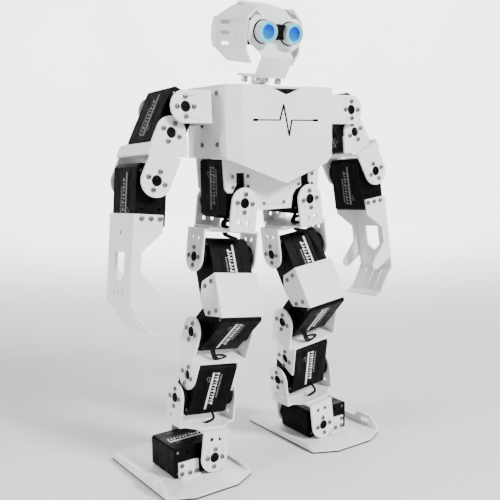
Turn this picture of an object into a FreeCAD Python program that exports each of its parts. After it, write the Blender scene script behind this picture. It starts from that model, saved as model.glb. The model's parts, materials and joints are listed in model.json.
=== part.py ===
import FreeCAD, Part
import math
import os

import Sketcher

# Driving dimensions, in millimetres and degrees.
SIZES = {
    # bus servo: case, shaft place, round boss and horn
    "servo_half_depth": 18.15,
    "servo_half_width": 12.3,
    "servo_nose": 12.3,
    "servo_tail": 33.0,
    "servo_bevel": 1.4,
    "boss_radius": 7.9,
    "boss_face": 20.0,
    "horn_radius": 9.8,
    "horn_face": 24.4,
    "hub_radius": 3.7,
    "horn_screw_circle": 7.0,
    # folded sheet brackets
    "sheet_thick": 1.8,
    "ear_half_width": 12.0,
    "ear_hole": 4.1,
    "web_reach": 22.25,
    "plate_shift": 20.3,
    # screws
    "shank_radius": 1.0,
    "screw_hole": 1.15,
    "head_radius": 1.9,
    "head_thick": 1.2,
    # skeleton
    "hip_spacing": 65.0,
    "hip_drop": 44.5,
    "thigh_length": 59.0,
    "shin_length": 59.5,
    "ankle_drop": 44.5,
    "ankle_roll_height": 15.4,
    "shoulder_spacing": 162.2,
    "shoulder_height": 290.0,
    "shoulder_depth": 3.6,
    "upper_arm_length": 58.8,
    # standing pose
    "hip_splay": 7.0,
    "thigh_lean": 5.0,
    "shin_lean": 16.0,
    "hip_servo_lean": 26.0,
    "knee_servo_lean": 46.0,
    "arm_lean": 3.3,
    "arm_swing": 27.0,
    "forearm_swing": 6.5,
    # torso
    "chest_front": 37.0,
    "chest_fold": 41.0,
    "chest_half_width": 52.0,
    "chest_edge": 30.6,
    "chest_flange_end": 8.0,
    "chest_top": 307.9,
    "chest_low": 253.4,
    "chest_fold_low": 248.2,
    "chest_tip": 233.4,
    "notch_half_width": 22.0,
    "notch_depth": 7.0,
    "back_depth": 27.0,
    "pelvis_low": 212.0,
    "waist_height": 253.2,
    "pulse_height": 281.8,
    # head
    "head_height": 311.5,
    "head_tilt": 9.0,
    "head_half_width": 26.5,
    "strip_half_width": 14.8,
    "neck_standoff": 6.0,
    "face_front": 18.0,
    "eye_spacing": 25.0,
    "eye_height": 40.4,
    "eye_radius": 8.6,
    "barrel_length": 10.0,
    # feet and hands
    "foot_toe": 51.5,
    "foot_heel": 59.0,
    "foot_inner": 25.0,
    "foot_outer": 53.0,
    "sole_thick": 1.2,
    "hand_top": 24.0,
    "hand_bend": 89.0,
    "palm_face": 13.9,
    "hand_skin": 1.6,
    "finger_tip": 112.0,
    # inside the chest
    "battery_half": 34.0,
    "battery_low": 257.0,
    "battery_top": 279.0,
    "battery_front": 31.0,
    "battery_rear": 16.0,
    "board_half": 40.0,
    "board_low": 257.0,
    "board_top": 304.0,
    "board_face": 18.5,
    "neck_servo_half": 6.0,
    "neck_servo_low": 281.0,
    "neck_servo_tail": 16.5,
    "neck_boss_radius": 5.6,
}

# Heights of the screws through the side walls of the chest and of the back.
CHEST_SCREW_HEIGHTS = (301.9, 263.6)
BACK_SCREW_HEIGHTS = (278.0, 263.4)

doc = FreeCAD.newDocument("humanoid_robot_kit")
sheet = doc.addObject("Spreadsheet::Sheet", "dims")
for row, (alias, value) in enumerate(SIZES.items(), start=1):
    sheet.set(f"A{row}", alias)
    sheet.set(f"B{row}", str(value))
    sheet.setAlias(f"B{row}", alias)
doc.recompute()


class Size:
    """A number together with the spreadsheet expression that gives it."""

    def __init__(self, value, text):
        self.value = value
        self.text = text

    def __add__(self, other):
        return Size(self.value + number(other), f"({self.text} + {text(other)})")

    def __sub__(self, other):
        return Size(self.value - number(other), f"({self.text} - {text(other)})")

    def __mul__(self, other):
        return Size(self.value * number(other), f"({self.text} * {text(other)})")

    def __truediv__(self, other):
        return Size(self.value / number(other), f"({self.text} / {text(other)})")

    def __radd__(self, other):
        return Size(number(other), text(other)) + self

    def __rsub__(self, other):
        return Size(number(other), text(other)) - self

    def __rmul__(self, other):
        return Size(number(other), text(other)) * self

    def __neg__(self):
        return self * -1


def number(item):
    return item.value if isinstance(item, Size) else float(item)


def text(item):
    return item.text if isinstance(item, Size) else f"{float(item):.6g}"


class Dims:
    """Spreadsheet cells by name, as sizes."""

    def __getattr__(self, alias):
        return Size(float(sheet.get(alias)), f"dims.{alias}")


d = Dims()

# Sketch planes: the two axes that a sketch shows, and which way its pad grows.
PLANES = {"XY": ("XY_Plane", 1), "XZ": ("XZ_Plane", -1), "YZ": ("YZ_Plane", 1)}


def circle(across, up, radius):
    return ("circle", across, up, radius)


def polygon(*points):
    return ("polygon", points)


def box(left, right, low, high):
    return polygon((left, low), (right, low), (right, high), (left, high))


def mirror_box(half, low, high):
    return box(-half, half, low, high)


def ring_of_four(across, up, circle_radius, radius):
    """Four holes or screws, above, below and to each side of a centre."""
    return [
        circle(across + circle_radius, up, radius),
        circle(across - circle_radius, up, radius),
        circle(across, up + circle_radius, radius),
        circle(across, up - circle_radius, radius),
    ]


class Piece:
    """One sub-part: a body whose slabs are added and cut between two levels of a plane.

    A left piece is the mirror image of the right one: it turns the sign of every X.
    """

    def __init__(self, label, side=1):
        self.body = doc.addObject("PartDesign::Body", label)
        self.body.Label = label
        self.side = side
        self.steps = 0
        pieces.append(self)

    def sketch(self, plane, outlines, level):
        name = f"{self.body.Label}_sketch_{self.steps}"
        sketch = self.body.newObject("Sketcher::SketchObject", name)
        role, way = PLANES[plane]
        origin = next(item for item in self.body.Origin.OriginFeatures if item.Role == role)
        sketch.AttachmentSupport = [(origin, "")]
        sketch.MapMode = "FlatFace"
        sketch.AttachmentOffset = FreeCAD.Placement(
            FreeCAD.Vector(0, 0, way * number(level)), FreeCAD.Rotation()
        )
        if isinstance(level, Size):
            sketch.setExpression("AttachmentOffset.Base.z", text(way * level))
        flip = self.side if plane != "YZ" else 1
        for outline in outlines:
            if outline[0] == "circle":
                self.draw_circle(sketch, flip * outline[1], outline[2], outline[3])
            else:
                self.draw_polygon(sketch, [(flip * across, up) for across, up in outline[1]])
        return sketch

    @staticmethod
    def bind(sketch, kind, ends, item):
        index = sketch.addConstraint(Sketcher.Constraint(kind, *ends, number(item)))
        if isinstance(item, Size):
            sketch.setExpression(f"Constraints[{index}]", item.text)

    def draw_circle(self, sketch, across, up, radius):
        centre = FreeCAD.Vector(number(across), number(up), 0)
        shape = Part.Circle(centre, FreeCAD.Vector(0, 0, 1), number(radius))
        edge = sketch.addGeometry(shape, False)
        self.bind(sketch, "Radius", (edge,), radius)
        self.bind(sketch, "DistanceX", (-1, 1, edge, 3), across)
        self.bind(sketch, "DistanceY", (-1, 1, edge, 3), up)

    def draw_polygon(self, sketch, points):
        places = [FreeCAD.Vector(number(across), number(up), 0) for across, up in points]
        edges = []
        for index, place in enumerate(places):
            after = places[(index + 1) % len(places)]
            edges.append(sketch.addGeometry(Part.LineSegment(place, after), False))
        for index, edge in enumerate(edges):
            after = edges[(index + 1) % len(edges)]
            sketch.addConstraint(Sketcher.Constraint("Coincident", edge, 2, after, 1))
        for edge, (across, up) in zip(edges, points):
            self.bind(sketch, "DistanceX", (-1, 1, edge, 1), across)
            self.bind(sketch, "DistanceY", (-1, 1, edge, 1), up)

    def feature(self, kind, plane, outlines, low, high):
        if plane == "YZ" and self.side < 0:
            low, high = -1 * high, -1 * low
        way = PLANES[plane][1]
        start = low if way > 0 else high
        self.steps += 1
        sketch = self.sketch(plane, outlines, start)
        step = self.body.newObject(f"PartDesign::{kind}", f"{self.body.Label}_{kind}_{self.steps}")
        step.Profile = sketch
        step.Length = number(high) - number(low)
        if isinstance(low, Size) or isinstance(high, Size):
            step.setExpression("Length", f"{text(high)} - {text(low)}")
        return step

    def add(self, plane, low, high, *outlines):
        self.feature("Pad", plane, outlines, low, high)
        return self

    def cut(self, plane, low, high, *outlines):
        step = self.feature("Pocket", plane, outlines, low, high)
        step.Reversed = True
        return self

    def both(self, action, plane, low, high, *outlines):
        """The same slab on the positive and on the negative side of a plane."""
        action(plane, low, high, *outlines)
        action(plane, -1 * high, -1 * low, *outlines)
        return self

    def place(self, placement):
        self.body.Placement = placement
        return self


pieces = []


def rotation(axis, angle):
    vectors = {"X": (1, 0, 0), "Y": (0, 1, 0), "Z": (0, 0, 1)}
    return FreeCAD.Placement(
        FreeCAD.Vector(), FreeCAD.Rotation(FreeCAD.Vector(*vectors[axis]), number(angle))
    )


def shift(across, along, up):
    return FreeCAD.Placement(
        FreeCAD.Vector(number(across), number(along), number(up)), FreeCAD.Rotation()
    )


UPSIDE_DOWN = rotation("Y", 180)


def label_outward(side):
    """A quarter turn that lays a servo's shaft along Y, its label face on the outer side."""
    return rotation("Z", -side * 90)


# Servos: the shaft lies along X, the tail hangs down, the broad label face looks along -Y.
def servo(label, placement):
    piece = Piece(label)
    half, bevel = d.servo_half_width, d.servo_bevel
    case = polygon(
        (-half + bevel, -d.servo_tail),
        (half - bevel, -d.servo_tail),
        (half, -d.servo_tail + bevel),
        (half, d.servo_nose - 2 * bevel),
        (half - 2 * bevel, d.servo_nose),
        (-half + 2 * bevel, d.servo_nose),
        (-half, d.servo_nose - 2 * bevel),
        (-half, -d.servo_tail + bevel),
    )
    piece.add("YZ", -d.servo_half_depth, d.servo_half_depth, case)
    piece.add("YZ", -d.boss_face, d.boss_face, circle(0, 0, d.boss_radius))
    # seams between the middle case and its two covers
    seam_at, seam_wide, seam_deep = 9.0, 0.5, 0.4
    inner = box(
        -half + seam_deep, half - seam_deep, -d.servo_tail + seam_deep, d.servo_nose - seam_deep
    )
    outer = box(-half - 1, half + 1, -d.servo_tail - 1, d.servo_nose + 1)
    for place in (-seam_at, seam_at):
        piece.cut("YZ", place, place + seam_wide, outer, inner)
    # two cable sockets side by side in the back face, near the tail
    for place in (-4.6, 4.6):
        piece.cut("XZ", half - 3.5, half, box(place - 3.9, place + 3.9, -27.5, -23.5))
    # holes for the case screws and the mounting screws
    screws = [circle(across, -29.0, 1.1) for across in (-8.4, 8.4)]
    piece.both(piece.cut, "YZ", d.servo_half_depth - 5, d.servo_half_depth + 1, *screws)
    plate_screws = ring_of_four(0, -d.plate_shift, d.horn_screw_circle, d.screw_hole)
    piece.both(piece.cut, "YZ", d.servo_half_depth - 5, d.servo_half_depth + 1, *plate_screws)
    return piece.place(placement)


# Folded brackets. The joint axis is X, the ears hang down from it unless way is 1.
def ear_outlines(way, reach):
    half = d.ear_half_width
    if way > 0:
        return box(-half, half, 0, reach), circle(0, 0, half)
    return box(-half, half, -reach, 0), circle(0, 0, half)


def ear_pair(piece, way, reach, turned=False):
    """Two ears with round ends on a joint axis, the web between them, and the holes."""
    plane, web_plane = ("XZ", "XY") if turned else ("YZ", "XY")
    inner, outer = d.horn_face, d.horn_face + d.sheet_thick
    upright, tip = ear_outlines(way, reach)
    piece.both(piece.add, plane, inner, outer, upright)
    piece.both(piece.add, plane, inner, outer, tip)
    half = d.ear_half_width
    long_way = box(-outer, outer, -half, half)
    cross_way = box(-half, half, -outer, outer)
    web = cross_way if turned else long_way
    low, high = (reach - d.sheet_thick, reach) if way > 0 else (-reach, -reach + d.sheet_thick)
    piece.add(web_plane, low, high, web)
    holes = [circle(0, 0, d.ear_hole)] + ring_of_four(0, 0, d.horn_screw_circle, d.screw_hole)
    piece.both(piece.cut, plane, inner - 1, outer + 1, *holes)


def horn_pair(piece, turned=False, centre=(0, 0)):
    """Output and idler horns on one joint axis, with the screws through the ears."""
    plane = "XZ" if turned else "YZ"
    across, up = centre
    low, high = d.boss_face + 0.3, d.horn_face
    holes = ring_of_four(across, up, d.horn_screw_circle, d.screw_hole)
    piece.both(piece.add, plane, low, high, circle(across, up, d.horn_radius), *holes)
    piece.both(piece.add, plane, high - 1, high + 2.2, circle(across, up, d.hub_radius))
    screw_ring(piece, plane, across, up, high, both=True)


def screw_ring(piece, plane, across, up, face, both=False):
    """Four pan-head screws through a sheet whose inner face is at the level given."""
    shanks = ring_of_four(across, up, d.horn_screw_circle, d.shank_radius)
    heads = ring_of_four(across, up, d.horn_screw_circle, d.head_radius)
    outer = face + d.sheet_thick
    for low, high, outlines in (
        (face - 3.2, outer + 0.1, shanks),
        (outer, outer + d.head_thick, heads),
    ):
        if both:
            piece.both(piece.add, plane, low, high, *outlines)
        else:
            piece.add(plane, low, high, *outlines)


def mount_screws(piece, plane="YZ", up=0):
    """Screws that hold a bracket's plates to both faces of a servo case."""
    face = d.servo_half_depth
    screw_ring(piece, plane, 0, up, face, both=True)


def ankle_depth():
    """How far the ankles stand behind the hips, with the knees bent."""
    lean = math.radians(d.thigh_lean.value)
    back = math.radians(d.shin_lean.value)
    return d.shin_length.value * math.sin(back) - d.thigh_length.value * math.sin(lean)


# Frames of the bodies in the standing pose. The feet set the middle of the depth.
ROOT = shift(0, -ankle_depth() - (d.foot_heel.value - d.foot_toe.value) / 2, 0)


def side_name(side):
    return "right" if side > 0 else "left"


def leg_frames(side):
    """Each leg body's frame. Right is -X, so side 1 puts the leg at negative X."""
    hip_height = (
        d.ankle_roll_height.value
        + (
            d.hip_drop.value
            + d.ankle_drop.value
            + d.thigh_length.value * math.cos(math.radians(d.thigh_lean.value))
            + d.shin_length.value * math.cos(math.radians(d.shin_lean.value))
        )
        * math.cos(math.radians(d.hip_splay.value))
    )
    hip = ROOT.multiply(shift(-side * d.hip_spacing / 2, 0, hip_height)).multiply(
        rotation("Y", side * d.hip_splay)
    )
    pitch = hip.multiply(shift(0, 0, -d.hip_drop))
    thigh = pitch.multiply(rotation("X", -d.thigh_lean))
    knee = thigh.multiply(shift(0, 0, -d.thigh_length))
    shin = knee.multiply(rotation("X", d.thigh_lean + d.shin_lean))
    ankle = shin.multiply(shift(0, 0, -d.shin_length)).multiply(rotation("X", -d.shin_lean))
    roll = ankle.multiply(shift(0, 0, -d.ankle_drop))
    foot = roll.multiply(rotation("Y", -side * d.hip_splay))
    return {
        "hip": hip,
        "hip_pitch": pitch,
        "thigh": thigh,
        "shin": shin,
        "ankle": ankle,
        "ankle_roll": roll,
        "foot": foot,
    }


def arm_frames(side):
    shoulder = ROOT.multiply(
        shift(-side * d.shoulder_spacing / 2, d.shoulder_depth, d.shoulder_height)
    ).multiply(rotation("X", -d.arm_lean))
    upper = shoulder.multiply(rotation("Y", side * d.arm_swing))
    elbow = upper.multiply(shift(0, 0, -d.upper_arm_length))
    forearm = elbow.multiply(rotation("Y", side * (d.forearm_swing - d.arm_swing)))
    return {"shoulder": shoulder, "upper_arm": upper, "elbow": elbow, "forearm": forearm}


# Leg
def cross_bracket(label, side, upper_turned, frame):
    """Two channels back to back, one turned a quarter turn: their webs meet in the middle."""
    piece = Piece(label, side)
    ear_pair(piece, -1, d.web_reach, turned=upper_turned)
    drop = -2 * d.web_reach
    inner, outer = d.horn_face, d.horn_face + d.sheet_thick
    half = d.ear_half_width
    plane = "YZ" if upper_turned else "XZ"
    web = box(-outer, outer, -half, half) if upper_turned else box(-half, half, -outer, outer)
    piece.add("XY", -d.web_reach - d.sheet_thick, -d.web_reach, web)
    piece.both(piece.add, plane, inner, outer, box(-half, half, drop, -d.web_reach))
    piece.both(piece.add, plane, inner, outer, circle(0, drop, half))
    holes = [circle(0, drop, d.ear_hole)] + ring_of_four(0, drop, d.horn_screw_circle, d.screw_hole)
    piece.both(piece.cut, plane, inner - 1, outer + 1, *holes)
    # two small holes in every ear, side by side near the web
    hole_drop, hole_spread, hole_size = 15.0, 4.0, 1.8
    upper_plane = "XZ" if upper_turned else "YZ"
    for ear_plane, up in ((upper_plane, -hole_drop), (plane, drop + hole_drop)):
        pair = [circle(place, up, hole_size) for place in (-hole_spread, hole_spread)]
        piece.both(piece.cut, ear_plane, inner - 1, outer + 1, *pair)
    # the corners between the two webs are filled at a slant
    wide = half + 9.0
    corners = polygon(
        (-wide, -half),
        (-half, -wide),
        (half, -wide),
        (wide, -half),
        (wide, half),
        (half, wide),
        (-half, wide),
        (-wide, half),
    )
    piece.add("XY", -d.web_reach, -d.web_reach + d.sheet_thick, corners)
    # oval cable hole through both webs, in front of the middle
    hole_end, hole_depth, hole_radius = 4.5, -7.0, 2.8
    low, high = -d.web_reach - d.sheet_thick - 1, -d.web_reach + d.sheet_thick + 1
    slot = box(-hole_end, hole_end, hole_depth - hole_radius, hole_depth + hole_radius)
    piece.cut("XY", low, high, slot)
    ends = [circle(place, hole_depth, hole_radius) for place in (-hole_end, hole_end)]
    piece.cut("XY", low, high, *ends)
    return piece.place(frame)


def cross_hardware(label, side, upper_turned, frame):
    piece = Piece(label, side)
    horn_pair(piece, turned=upper_turned)
    horn_pair(piece, turned=not upper_turned, centre=(0, -2 * d.web_reach))
    return piece.place(frame)


def thigh(side, frames):
    name = side_name(side)
    frame = frames["thigh"]
    tilt = d.hip_servo_lean - d.thigh_lean
    upper = frame.multiply(rotation("X", -tilt))
    knee = frame.multiply(shift(0, 0, -d.thigh_length))
    knee = knee.multiply(rotation("X", d.thigh_lean + d.knee_servo_lean)).multiply(UPSIDE_DOWN)
    servo(f"{name}_thigh_servo", upper)
    servo(f"{name}_knee_servo", knee)
    shell = Piece(f"{name}_thigh_shell", side)
    top, bottom, front = -18.6, -54.0, 15.4
    skin = d.sheet_thick
    wall = d.servo_half_depth + skin
    flange = polygon(
        (-front, top), (3.5, top - 1.0), (10.5, top - 12.4), (6.5, bottom + 7.5), (-front, bottom)
    )
    shell.both(shell.add, "YZ", wall - skin, wall, flange)
    shell.add("XZ", -front, -front + skin, mirror_box(wall, bottom, top))
    places = ((-9, -23.5), (0, -24.5), (-9, -47), (0.5, -46))
    holes = [circle(y, z, d.screw_hole) for y, z in places]
    shell.both(shell.cut, "YZ", wall - skin - 1, wall + 1, *holes)
    shell.place(upper)
    screws = Piece(f"{name}_thigh_screws", side)
    shanks = [circle(y, z, d.shank_radius) for y, z in places]
    heads = [circle(y, z, d.head_radius) for y, z in places]
    screws.both(screws.add, "YZ", wall - skin, wall + 0.1, *shanks)
    screws.both(screws.add, "YZ", wall, wall + d.head_thick, *heads)
    screws.place(upper)


def double_bracket(piece, length, plane):
    """Two channels back to back: ears on the moving joint, plates on the next servo's case.

    Both are drawn with the moving joint at the origin and the next servo's shaft below it.
    """
    skin = d.sheet_thick
    inner = d.servo_half_depth
    half = d.ear_half_width
    mount = d.plate_shift - length
    turned = plane == "XZ"
    ear_pair(piece, -1, d.web_reach, turned=turned)
    long_way = box(-inner - skin, inner + skin, -half, half)
    cross_way = box(-half, half, -inner - skin, inner + skin)
    piece.add("XY", -d.web_reach - skin, -d.web_reach, cross_way if turned else long_way)
    # one plate has a round end, the other is cut straight with a slanted foot
    piece.add(plane, -inner - skin, -inner, box(-half, half, mount, -d.web_reach))
    piece.add(plane, -inner - skin, -inner, circle(0, mount, half))
    square = polygon(
        (-half, -d.web_reach), (-half, mount - 11), (half, mount - 5), (half, -d.web_reach)
    )
    piece.add(plane, inner, inner + skin, square)
    holes = [circle(0, mount, d.ear_hole)]
    holes += ring_of_four(0, mount, d.horn_screw_circle, d.screw_hole)
    piece.both(piece.cut, plane, inner - 0.5, inner + skin + 1, *holes)


def shin(side, frames):
    name = side_name(side)
    piece = Piece(f"{name}_shin_bracket", side)
    double_bracket(piece, d.shin_length, "YZ")
    piece.place(frames["shin"])
    hardware = Piece(f"{name}_shin_hardware", side)
    horn_pair(hardware)
    mount_screws(hardware, up=d.plate_shift - d.shin_length)
    hardware.place(frames["shin"])
    ankle = frames["shin"].multiply(shift(0, 0, -d.shin_length)).multiply(UPSIDE_DOWN)
    servo(f"{name}_ankle_pitch_servo", ankle)


def foot(side, frames):
    name = side_name(side)
    frame = frames["foot"]
    # the servo lies on its side with its tail outward
    lying = frame.multiply(rotation("Y", side * 90)).multiply(label_outward(side))
    servo(f"{name}_ankle_roll_servo", lying)
    low = -d.ankle_roll_height + d.sole_thick
    skin = d.sheet_thick
    inner, outer = d.foot_inner, -d.foot_outer
    toe, heel = -d.foot_toe, d.foot_heel
    outline = polygon(
        (outer, toe + 10),
        (outer + 20, toe),
        (inner - 20, toe),
        (inner, toe + 10),
        (inner, heel - 6),
        (inner - 6, heel),
        (outer + 6, heel),
        (outer, heel - 6),
    )
    plate = Piece(f"{name}_foot_plate", side)
    plate.add("XY", low, low + skin, outline)
    # raised outer flange, higher at the toe end, where an oval hole goes through it
    flange = polygon(
        (toe + 10, low),
        (heel - 6, low),
        (heel - 12, low + 7),
        (toe + 40, low + 7),
        (toe + 36, low + 12),
        (toe + 20, low + 12),
        (toe + 12, low + 6),
    )
    plate.add("YZ", outer, outer + skin, flange)
    plate.cut("YZ", outer - 1, outer + skin + 1, box(toe + 21, toe + 31, low + 5, low + 8.5))
    # low inner lip
    lip = polygon((toe + 10, low), (heel - 6, low), (heel - 9, low + 4.5), (toe + 14, low + 4.5))
    plate.add("YZ", inner - skin, inner, lip)
    plate.place(frame)
    sole = Piece(f"{name}_foot_sole", side)
    sole.add("XY", -d.ankle_roll_height, low, outline)
    sole.place(frame)
    bracket = Piece(f"{name}_foot_servo_bracket", side)
    face = d.servo_half_depth
    base = low + skin
    far, near, top = -29.3, -11.2, 0.5
    wall = box(far, near, base, top)
    ledge = 5.2
    for low_y, high_y, end_low, end_high in (
        (-face - skin, -face, -face - ledge, -face - skin),
        (face, face + skin, face + skin, face + ledge),
    ):
        bracket.add("XZ", low_y, high_y, wall)
        bracket.add("XY", base, base + skin, box(far, near, end_low, end_high))
    bracket.place(frame)


def leg(side):
    name = side_name(side)
    frames = leg_frames(side)
    upright = shift(*frames["hip"].Base)
    hanging = upright.multiply(UPSIDE_DOWN).multiply(label_outward(-side))
    servo(f"{name}_hip_roll_servo", hanging)
    cross_bracket(f"{name}_hip_bracket", side, True, frames["hip"])
    cross_hardware(f"{name}_hip_hardware", side, True, frames["hip"])
    thigh(side, frames)
    shin(side, frames)
    cross_bracket(f"{name}_ankle_bracket", side, False, frames["ankle"])
    cross_hardware(f"{name}_ankle_hardware", side, False, frames["ankle"])
    foot(side, frames)


# Arm
def shoulder(side, frame):
    name = side_name(side)
    half, reach, skin = d.ear_half_width, d.web_reach, d.sheet_thick
    inner, outer = d.horn_face, d.horn_face + d.sheet_thick
    ring = ring_of_four(0, 0, d.horn_screw_circle, d.screw_hole)
    piece = Piece(f"{name}_shoulder_bracket", side)
    piece.both(piece.add, "XZ", inner, outer, box(0, reach, -half, half))
    piece.both(piece.add, "XZ", inner, outer, circle(0, 0, half))
    piece.add("YZ", reach - skin, reach, box(-outer, outer, -half, half))
    piece.both(piece.cut, "XZ", inner - 1, outer + 1, circle(0, 0, d.ear_hole), *ring)
    piece.cut("YZ", reach - skin - 1, reach + 1, circle(0, 0, d.ear_hole), *ring)
    piece.place(frame)
    hardware = Piece(f"{name}_shoulder_hardware", side)
    horn_pair(hardware, turned=True)
    face = d.shoulder_spacing / 2 - SIDE_WALL - 0.3
    hardware.add("YZ", reach, face, circle(0, 0, d.horn_radius), *ring)
    hardware.add("YZ", reach - skin - 0.4, reach + 1, circle(0, 0, d.hub_radius))
    shanks = ring_of_four(0, 0, d.horn_screw_circle, d.shank_radius)
    heads = ring_of_four(0, 0, d.horn_screw_circle, d.head_radius)
    hardware.add("YZ", reach - skin - 0.1, reach + 3.2, *shanks)
    hardware.add("YZ", reach - skin - d.head_thick, reach - skin, *heads)
    hardware.place(frame)


def upper_arm(side, frames):
    name = side_name(side)
    servo(f"{name}_upper_arm_servo", frames["upper_arm"].multiply(label_outward(1)))
    bracket = Piece(f"{name}_upper_arm_bracket", side)
    double_bracket(bracket, d.upper_arm_length, "XZ")
    # the web turns over the outer side of the elbow, and the plates have a corner tab
    half, skin = d.ear_half_width, d.sheet_thick
    outer = d.horn_face + skin
    bracket.add("YZ", half, half + skin, box(-outer, outer, -d.web_reach - skin, -14.5))
    tab = polygon((-half + 0.5, -24.3), (-half - 7.5, -27.8), (-half - 1, -41), (-half + 0.5, -41))
    plate = d.servo_half_depth
    bracket.both(bracket.add, "XZ", plate, plate + skin, tab)
    over = frames["elbow"].multiply(UPSIDE_DOWN)
    bracket.place(over)
    hardware = Piece(f"{name}_upper_arm_hardware", side)
    horn_pair(hardware, turned=True)
    screw_ring(hardware, "XZ", 0, d.plate_shift - d.upper_arm_length, plate, both=True)
    hardware.place(over)


def hand(side, frame):
    """A channel on the forearm servo: palm on the outer side, a thumb on each flange."""
    name = side_name(side)
    servo(f"{name}_forearm_servo", frame.multiply(label_outward(1)))
    palm = -d.palm_face
    skin = d.hand_skin
    wall = d.servo_half_depth
    top, bend = -d.hand_top, -d.hand_bend
    piece = Piece(f"{name}_hand", side)
    flange = polygon(
        (palm, top),
        (9.8, top),
        (9.8, -37),
        (-6.5, -51.5),
        (-6.5, -65.5),
        (8.6, -79.8),
        (2.4, -86.4),
        (palm, -79),
    )
    piece.both(piece.add, "XZ", wall, wall + skin, flange)
    piece.both(piece.add, "XZ", wall, wall + skin, circle(5.5, -83.1, 4.5))
    width = wall + skin
    piece.add("YZ", palm, palm + skin, box(-width, width, bend, top))
    # four fingers slant inward and end in a common lip
    tip = -d.finger_tip
    fingers = polygon(
        (palm, bend),
        (palm + skin, bend),
        (3.4, tip + 3.4),
        (10.0, tip + 1.6),
        (9.7, tip),
        (2.4, tip + 2.0),
    )
    pitch = 2 * width / 4
    for index in range(4):
        low = -width + index * pitch
        piece.add("XZ", low + 0.9, low + pitch - 0.9, fingers)
    knuckles = polygon(
        (palm, bend), (palm + skin, bend), (palm + 4.2, bend - 3.3), (palm + 2.8, bend - 3.9)
    )
    piece.add("XZ", -width, width, knuckles)
    tips = polygon(
        (3.4, tip + 3.4),
        (10.0, tip + 1.6),
        (9.7, tip),
        (2.4, tip + 2.0),
        (1.2, tip + 3.6),
        (2.4, tip + 4.7),
    )
    piece.add("XZ", -width, width, tips)
    window = polygon((-7.8, -52), (7.8, -52), (7.8, -69.5), (0, -75), (-7.8, -69.5))
    slots = [box(place - 0.7, place + 0.7, -83.4, -79.8) for place in (-6.4, 0, 6.4)]
    piece.cut("YZ", palm - 1, palm + skin + 1, window, circle(0, -37.8, 1.9), *slots)
    holes = [circle(across, -27.0, d.screw_hole) for across in (-7.4, 0, 7.4)]
    piece.both(piece.cut, "XZ", wall - 1, wall + skin + 1, *holes)
    piece.place(frame)


def arm(side):
    frames = arm_frames(side)
    shoulder(side, frames["shoulder"])
    upper_arm(side, frames)
    hand(side, frames["forearm"])


# Torso
SIDE_WALL = d.chest_half_width - d.sheet_thick


def stroke(start, end, width):
    """A straight slot of a given width between two points, as a four-sided outline."""
    (left, low), (right, high) = start, end
    length = math.hypot(number(right) - number(left), number(high) - number(low))
    across = (number(right) - number(left)) / length * width / 2
    along = (number(high) - number(low)) / length * width / 2
    return polygon(
        (left - along, low + across),
        (left + along, low - across),
        (right + along, high - across),
        (right - along, high + across),
    )


def chest_shell():
    piece = Piece("chest_shell")
    skin = d.sheet_thick
    front, fold = d.chest_front, d.chest_fold
    half, edge, end = d.chest_half_width, d.chest_edge, d.chest_flange_end
    band = polygon(
        (-half, -end),
        (-half, -edge),
        (-fold, -front),
        (fold, -front),
        (half, -edge),
        (half, -end),
        (half - skin, -end),
        (half - skin, -edge + 1.0),
        (fold - 0.5, -front + skin),
        (-fold + 0.5, -front + skin),
        (-half + skin, -edge + 1.0),
        (-half + skin, -end),
    )
    piece.add("XY", d.chest_tip, d.chest_top, band)
    hem = polygon(
        (-half - 5, d.chest_tip - 2),
        (half + 5, d.chest_tip - 2),
        (half + 5, d.chest_low),
        (half, d.chest_low),
        (fold, d.chest_fold_low),
        (0, d.chest_tip),
        (-fold, d.chest_fold_low),
        (-half, d.chest_low),
        (-half - 5, d.chest_low),
    )
    piece.cut("XZ", -front - 1, -end + 1, hem)
    notch = d.notch_half_width
    vee = polygon(
        (-notch, d.chest_top + 1), (0, d.chest_top - d.notch_depth), (notch, d.chest_top + 1)
    )
    piece.cut("XZ", -front - 1, -front + skin + 1, vee)
    # pulse line cut through the front
    level = d.pulse_height
    route = [(-31.5, 0), (-6.5, 0), (-2.8, 11.6), (2.5, -11.8), (5.0, 0), (31.5, 0)]
    for (left, low), (right, high) in zip(route, route[1:]):
        line = stroke((left, level + low), (right, level + high), 0.9)
        piece.cut("XZ", -front - 1, -front + skin + 1, line)
    for left, right in ((-31.5, -28.0), (26.5, 31.5)):
        line_end = stroke((left, level), (right, level), 1.8)
        piece.cut("XZ", -front - 1, -front + skin + 1, line_end)
    holes = [circle(-19, height, d.screw_hole) for height in CHEST_SCREW_HEIGHTS]
    piece.both(piece.cut, "YZ", half - skin - 1, half + 1, *holes)
    return piece.place(ROOT)


def back_shell():
    piece = Piece("back_shell")
    skin, wall, depth = d.sheet_thick, SIDE_WALL, d.back_depth
    band = polygon(
        (-wall, -14),
        (-wall + skin, -14),
        (-wall + skin, depth - skin),
        (wall - skin, depth - skin),
        (wall - skin, -14),
        (wall, -14),
        (wall, depth),
        (-wall, depth),
    )
    piece.add("XY", d.chest_low, d.chest_top, band)
    piece.add("XY", d.chest_top - skin, d.chest_top, box(-wall, wall, -30, depth))
    # opening for the neck servo, and a tongue that hangs down behind the hips
    piece.cut("XY", d.chest_top - skin - 1, d.chest_top + 1, box(-7, 7, -8, 18))
    tongue = polygon(
        (-44, d.chest_low), (44, d.chest_low), (36, d.chest_low - 9), (-36, d.chest_low - 9)
    )
    piece.add("XZ", depth - skin, depth, tongue)
    openings = circle(d.shoulder_depth, d.shoulder_height, d.boss_radius + 0.6)
    side_holes = [circle(5.5, height, d.screw_hole) for height in BACK_SCREW_HEIGHTS]
    piece.both(piece.cut, "YZ", wall - skin - 1, wall + 1, openings, *side_holes)
    vents = [stroke((-14, height), (14, height), 2.4) for height in (288, 281, 274)]
    piece.cut("XZ", depth - skin - 1, depth + 1, *vents)
    return piece.place(ROOT)


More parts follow.
